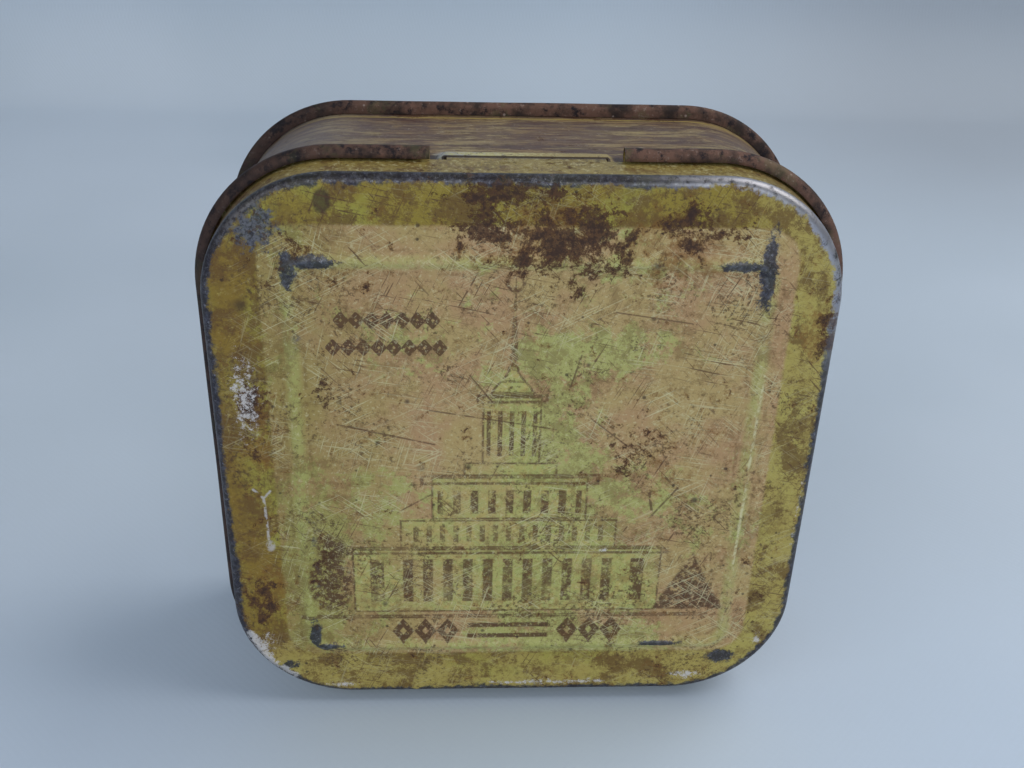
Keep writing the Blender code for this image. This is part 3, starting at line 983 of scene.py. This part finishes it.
def curl_rust():
    """The curled and rolled edges: bare sheet turned to rust, rubbed bright in places, with painted shade
    towards the left.
    """
    s = Sheet("curl_rust")
    coarse = s.noise(3.0, 5.0, 0.65, seed=51.0)
    fine = s.noise(0.45, 4.0, 0.75, seed=52.0)
    brown = s.mix(CURL, CURL_PALE, s.step(coarse, 0.38, 0.6))
    brown = s.mix(brown, CURL_DARK, s.torn(1.4, 5.0, 0.7, 53.0, 0.5, 0.64))
    bright = s.any_of(s.specks(0.9, 0.2, 0.16), s.specks(2.1, 0.3, 0.2) * s.step(fine, 0.4, 0.5))
    rubbed = s.step(fine + coarse * 0.3, 0.72, 0.86)
    brown = s.mix(brown, CURL_GREEN, s.torn(5.0, 5.0, 0.7, 54.0, 0.54, 0.62) * 0.35)
    colour = s.mix(brown, CURL_BRIGHT, s.any_of(rubbed * 0.5, bright * 0.8))
    # painted shade: the curls are darkened towards the left, on the side away from the light
    colour = s.mix(colour, CURL_PAINTED_SHADE, s.step(s.x, -12.0, -30.0) * s.step(coarse, 0.3, 0.5) * 0.65)
    metallic = s.blend(0.25, 0.6, rubbed)
    roughness = s.blend(0.62, 0.4, rubbed) + (fine - 0.5) * 0.3
    return s.finish(colour, metallic, roughness, fine * 0.05 + coarse * 0.05, 0.7)


def wall_print():
    """A faded wood-grain ornament round the wall, with painted shade towards its left and round the hinge
    slot; s.x + s.z runs along every side without a join.
    """
    s = Sheet("wall_print")
    d = s.d
    run = s.x + s.z

    def drawn(along, across, detail, rough, seed, warp):
        """Noise drawn out along the side, its features this long and this wide."""
        at = s.vector(s.x / along, d / across, s.z / along)
        return s.noise(1.0, detail, rough, seed=seed, at=at, warp=warp)

    streak = drawn(11.0, 1.5, 8.0, 0.74, 61.0, 0.9)
    grain = drawn(5.0, 0.55, 3.0, 0.6, 62.0, 0.3)
    thread = drawn(4.0, 0.34, 4.0, 0.7, 70.0, 0.5)
    broad = drawn(16.0, 3.4, 7.0, 0.75, 71.0, 0.8)
    patch = s.noise(9.0, 3.0, 0.55, seed=63.0)
    colour = s.mix(WOOD, WOOD_PALE, s.step(patch, 0.42, 0.62))
    colour = s.mix(colour, WOOD_STREAK, s.step(streak, 0.46, 0.54) * 0.75)
    colour = s.mix(colour, WOOD_GRAIN, s.step(grain, 0.55, 0.66) * 0.5)
    colour = s.mix(colour, WOOD_DARK, s.step(broad, 0.5, 0.56) * 0.7)
    colour = s.mix(colour, WOOD_THREAD, s.step(thread, 0.54, 0.6) * 0.75)
    colour = s.mix(colour, WOOD_LIGHT, s.step(thread, 0.43, 0.37) * 0.5)
    eye = s.size_of(s.math("FRACT", run / 27.0 + 0.1) - 0.5) * 27.0
    away = (d - 17.0 + (grain - 0.5) * 1.2) * 2.3
    rings = s.math("SQRT", eye * eye * 0.45 + away * away)
    lines = s.step(s.math("SINE", rings * 2.6), 0.1, 0.8) * s.step(rings, 7.5, 5.5)
    colour = s.mix(colour, WOOD_RING, lines * 0.6)
    leaves = s.step(s.math("SINE", run * 0.9 + (streak - 0.5) * 9.0), 0.2, 0.9)
    leaves = leaves * s.step(s.size_of(d - 20.5), 2.6, 1.4) * s.step(grain, 0.4, 0.55)
    colour = s.mix(colour, WOOD_LEAF, leaves * 0.45)
    stripe = s.step(s.size_of(d - 24.6), 0.3, 0.15)
    colour = s.mix(colour, STRIPE, stripe * 0.6)
    fine = s.noise(0.4, 4.0, 0.75, seed=64.0)
    dirt = s.torn(2.2, 6.0, 0.75, 65.0, 0.52, 0.74)
    colour = s.mix(colour, WALL_DIRT, dirt * 0.5)
    bump_band = s.box(s.x, d, (-9.9, 6.9), (9.6, 9.7), 0.5) * s.step(s.z, 33.8, 34.4)
    pale = s.mix(BUMP_PALE, BUMP_TAN, s.step(fine + s.x * 0.02, 0.4, 0.6))
    colour = s.mix(colour, pale, bump_band * 0.85)
    scraped = bump_band * s.step(s.noise(1.2, 6.0, 0.84, seed=66.0) - s.x * 0.02, 0.6, 0.66)
    colour = s.mix(colour, SCRAPED, scraped * 0.75)
    freckles = s.torn(0.9, 6.0, 0.84, 69.0, 0.54, 0.58)
    colour = s.mix(colour, RUST_DARK, bump_band * freckles * 0.7)
    worn = s.torn(1.0, 6.0, 0.8, 67.0, 0.58, 0.64)
    colour = s.mix(colour, WALL_WORN, worn * 0.5)
    # painted shade: the wall is greyer towards the left, on the side away from the light
    painted_shade_left = s.step(s.x + (patch - 0.5) * 10.0, -14.0, -24.0)
    colour = s.mix(colour, WALL_GREY, painted_shade_left * 0.45)
    rust = s.step(s.noise(4.0, 7.0, 0.8, seed=68.0) + s.step(d, 23.0, 26.0) * 0.1, 0.6, 0.66)
    colour = s.mix(colour, RUST, rust * 0.8)
    reach = s.size_of(s.x)
    on_top = s.step(s.z, 32.6, 33.0)
    scuffed = s.blob(s.x, d, (-8.6, 9.3), (2.2, 2.2)) * s.torn(0.8, 6.0, 0.86, 72.0, 0.5, 0.55)
    colour = s.mix(colour, SCUFF, scuffed * on_top * 0.85)
    # painted shade: a dark band round the hinge slot, and dark patches at the bump's ends that are partly
    # painted shadow and partly the raw ends of the lid's curl
    slot_painted_shade = s.box(reach, d, (-1.0, SLOT_FRONT - 0.5), (SLOT_HALF + 0.25, HINGE_DEPTH - 0.1), 0.08)
    notch_painted_shadow = s.blob(reach, d + (fine - 0.5) * 1.2, (10.2, 8.5), (0.9, 1.5), 0.5)
    colour = s.mix(colour, RUST_DARK, s.any_of(slot_painted_shade, notch_painted_shadow) * on_top * 0.9)
    metallic = s.blend(0.0, 0.6, scraped)
    roughness = s.blend(0.46, 0.7, s.any_of(rust, dirt * 0.5)) + (fine - 0.5) * 0.25
    return s.finish(colour, metallic, roughness, fine * 0.03 + grain * 0.02 + rust * 0.05, 0.6)


def inside_tin():
    """The unprinted side: dull tinplate with a little rust and the dust of what was kept in it."""
    s = Sheet("inside_tin")
    seed = 71.0
    _, spangle = s.cells(4.0)
    fine = s.noise(0.35, 4.0, 0.7, seed=seed)
    cloud = s.noise(9.0, 5.0, 0.6, seed=seed + 1)
    colour = s.mix(TIN, TIN_DULL, s.step(cloud, 0.4, 0.66))
    colour = s.mix(colour, SPANGLE, spangle * 0.18)
    spread = s.noise(3.0, 7.0, 0.72, seed=seed + 2)
    rust = s.step(spread, 0.64, 0.74)
    halo = s.step(spread, 0.56, 0.7)
    colour = s.mix(colour, TIN_HALO, halo * 0.6)
    colour = s.mix(colour, TIN_RUST, rust * 0.9)
    spots = s.specks(3.4, 0.35, 0.3)
    colour = s.mix(colour, RUST_DARK, spots * 0.7)
    rubbed = s.scratches((20, 6.0, 0.14, seed + 3, 0.68), (-50, 6.0, 0.14, seed + 4, 0.68))
    colour = s.mix(colour, TIN_RUBBED, rubbed * 0.5)
    metallic = s.blend(0.85, 0.1, s.any_of(rust, halo * 0.6, spots))
    roughness = s.blend(0.34, 0.75, s.any_of(rust, halo * 0.5)) + (fine - 0.5) * 0.22
    return s.finish(colour, metallic, roughness, fine * 0.02 + rust * 0.06 + cloud * 0.2, 0.5)


def base_varnish():
    """The back: yellowed varnish over tinplate, scuffed in the middle and rusty at the rim."""
    s = Sheet("base_varnish")
    fine = s.noise(0.5, 4.0, 0.75, seed=101.0)
    cloud = s.noise(14.0, 6.0, 0.7, seed=102.0)
    colour = s.mix(VARNISH, VARNISH_PALE, s.step(cloud, 0.42, 0.58))
    colour = s.mix(colour, DIRT, s.torn(2.4, 7.0, 0.82, 103.0, 0.5, 0.58) * 0.4)
    rim = s.past_square(s.x, s.z, HALF, CORNER)
    flakes = (s.noise(5.0, 8.0, 0.8, seed=104.0, warp=1.0) - 0.5) * 1.5 + (fine - 0.5) * 0.4
    near = s.step(rim, -9.0, -1.0)
    stain = s.step(flakes + near * 0.22, 0.14, 0.26)
    rust = s.step(flakes + near * 0.25, 0.24, 0.32)
    colour = s.mix(colour, RUST_ORANGE, stain * 0.6)
    colour = s.mix(colour, RUST, rust * 0.9)
    scuffs = s.scratches(
        (18, 9.0, 0.16, 105.0, 0.6),
        (-34, 8.0, 0.15, 106.0, 0.6),
        (81, 8.0, 0.15, 107.0, 0.62),
    )
    bare = s.any_of(s.step(rim + (cloud - 0.5) * 3.0, -1.9, -1.2) * 0.8, scuffs * 0.6)
    colour = s.mix(colour, STEEL_BRIGHT, bare * (1.0 - rust) * 0.7)
    colour = s.mix(colour, RUST_DARK, s.any_of(s.specks(2.2, 0.3, 0.3), s.specks(6.0, 0.6, 0.2)) * 0.7)
    metallic = s.blend(0.1, 0.7, bare * (1.0 - rust))
    roughness = s.blend(0.42, 0.75, s.any_of(rust, stain * 0.5)) + (fine - 0.5) * 0.25
    return s.finish(colour, metallic, roughness, fine * 0.03 + rust * 0.06 + cloud * 0.15, 0.6)


# -------- the object

lid = make_lid()
body = make_body_wall()
base = make_base_plate()

rust_edge = curl_rust()
inside = inside_tin()
for piece, materials in (
    (lid, (lid_print(), rust_edge, inside)),
    (body, (wall_print(), inside)),
    (base, (base_varnish(), rust_edge, inside)),
):
    for material in materials:
        piece.data.materials.append(material)

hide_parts("lid")
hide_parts("body_wall")
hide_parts("base_plate")
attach(lid, "lid")
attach(body, "case")
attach(base, "case")


# -------- floor, light and camera, in metres

FLOOR_HALF = 0.9
FLOOR_FRONT = -0.7
WALL_AT = 0.30
WALL_TOP = 0.9
SWEEP = 0.035
MIDDLE = (0.0, 0.0, 0.036)
LENS_MM = 39.08
CAMERA_AT = (-0.00767, -0.12366, 0.10610)
CAMERA_TURN_DEG = (62.045, -1.507, -2.537)
SKY = (0.80, 0.88, 1.0, 1.0)
SKY_STRENGTH = 0.15


def cloth():
    """The pale floor, a little bluer in front, with painted shade towards the back right."""
    s = Sheet("cloth")
    weave = s.math("SINE", s.x * 5.0) * s.math("SINE", s.d * 5.0)
    cloud = s.noise(120.0, 2.0, 0.5, seed=91.0)
    colour = s.mix(FLOOR, FLOOR_PALE, s.step(cloud, 0.35, 0.65))
    colour = s.mix(colour, FLOOR_BLUE, s.step(s.d, 60.0, -110.0))
    # painted shade: the floor and the wall behind it darker towards the back right
    colour = s.mix(colour, FLOOR_PAINTED_SHADE, s.step(s.x, 20.0, 170.0) * s.step(s.d, 120.0, 260.0) * 0.8)
    return s.finish(colour, 0.0, 0.85, weave * 0.02, 0.3, 0.2)


def backdrop():
    """A floor that sweeps up into a wall behind the object."""
    outline = [(FLOOR_FRONT, 0.0)]
    for step in range(13):
        turn = math.radians(7.5 * step)
        outline.append((WALL_AT - SWEEP + SWEEP * math.sin(turn), SWEEP - SWEEP * math.cos(turn)))
    outline.append((WALL_AT, WALL_TOP))
    points = [(side * FLOOR_HALF, y, z) for side in (-1, 1) for y, z in outline]
    count = len(outline)
    faces = [(k, k + count, k + count + 1, k + 1) for k in range(count - 1)]
    # the base's rolled edge ends higher than the lid's curled one, so the floor rises to meet both
    lean = ROLL_INSET / (ROLL_DEPTH - SKIRT_DEPTH)
    front = (SKIRT_DEPTH - CENTRE_DEPTH) * MM
    tilted = [(x, y, z + (y - front) * lean) for x, y, z in points]
    mesh = bpy.data.meshes.new("studio_floor")
    mesh.from_pydata(tilted, [], faces)
    for polygon in mesh.polygons:
        polygon.use_smooth = True
    mesh.materials.append(cloth())
    obj = added("studio_floor", mesh)


def area_light(name, place_m, size, power, colour):
    """A rectangular light in metres and watts, aimed at the object's middle."""
    light = bpy.data.lights.new(name, "AREA")
    light.shape = "RECTANGLE"
    light.size, light.size_y = size
    light.energy = power
    light.color = colour
    obj = added(name, light)
    obj.location = place_m
    obj.rotation_euler = (Vector(MIDDLE) - Vector(place_m)).to_track_quat("-Z", "Y").to_euler()


backdrop()
area_light("key", (0.40, 0.05, 0.55), (0.5, 0.5), 2.25, (1.0, 0.99, 0.97))
area_light("fill", (-0.45, -0.5, 0.45), (0.6, 0.6), 1.15, (0.95, 0.98, 1.0))
area_light("front", (0.1, -0.75, 0.3), (0.5, 0.4), 2.1, (0.86, 0.93, 1.0))

world = bpy.data.worlds.new("studio")
world.use_nodes = True
sky = world.node_tree.nodes["Background"]
sky.inputs["Color"].default_value = SKY
sky.inputs["Strength"].default_value = SKY_STRENGTH
bpy.context.scene.world = world
bpy.context.scene.view_settings.view_transform = "Standard"

lens = bpy.data.cameras.new("camera")
lens.lens = LENS_MM
lens.sensor_width = 36.0
lens.clip_start = 0.01
camera = added("camera", lens)
camera.location = CAMERA_AT
camera.rotation_euler = [math.radians(degrees) for degrees in CAMERA_TURN_DEG]
bpy.context.scene.camera = camera
